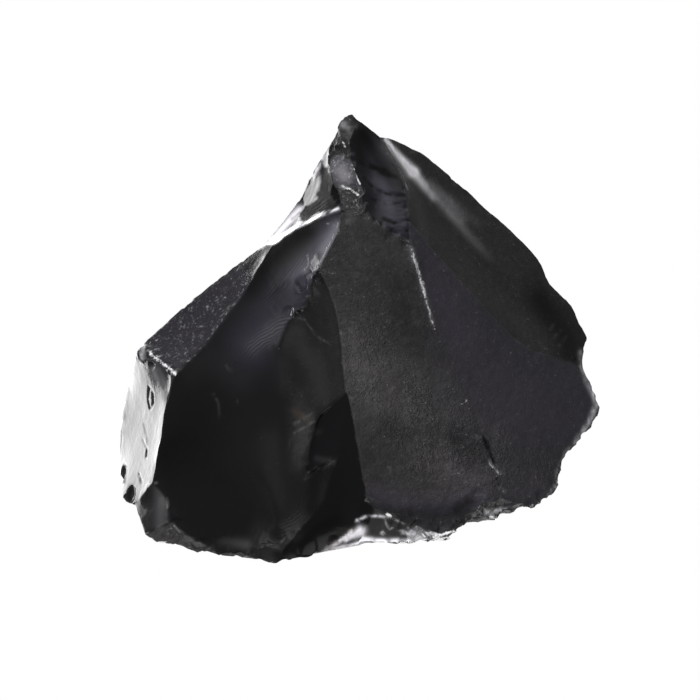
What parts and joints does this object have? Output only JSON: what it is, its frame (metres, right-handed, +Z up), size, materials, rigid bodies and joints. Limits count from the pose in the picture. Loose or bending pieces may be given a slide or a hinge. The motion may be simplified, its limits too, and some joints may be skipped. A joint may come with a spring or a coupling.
{
  "type": "obsidian chunk",
  "caption": "Freestanding chunk of raw black volcanic glass with broad shell-shaped scars, sharp chipped ridges and a flat resting face.",
  "frame": {"origin": "centre of the bounding box in plan, on the plane of the flat face it rests on", "axes": "+Z up from the resting face, +X along the longest side, -Y towards the broad face with the long central ridge"},
  "size_m": [0.0777, 0.0575, 0.0585],
  "materials": {
    "obsidian": "glossy black volcanic glass, matt and grainy on some scars"
  },
  "bodies": {
    "root": {"obsidian_chunk": "obsidian"}
  },
  "joints": []
}
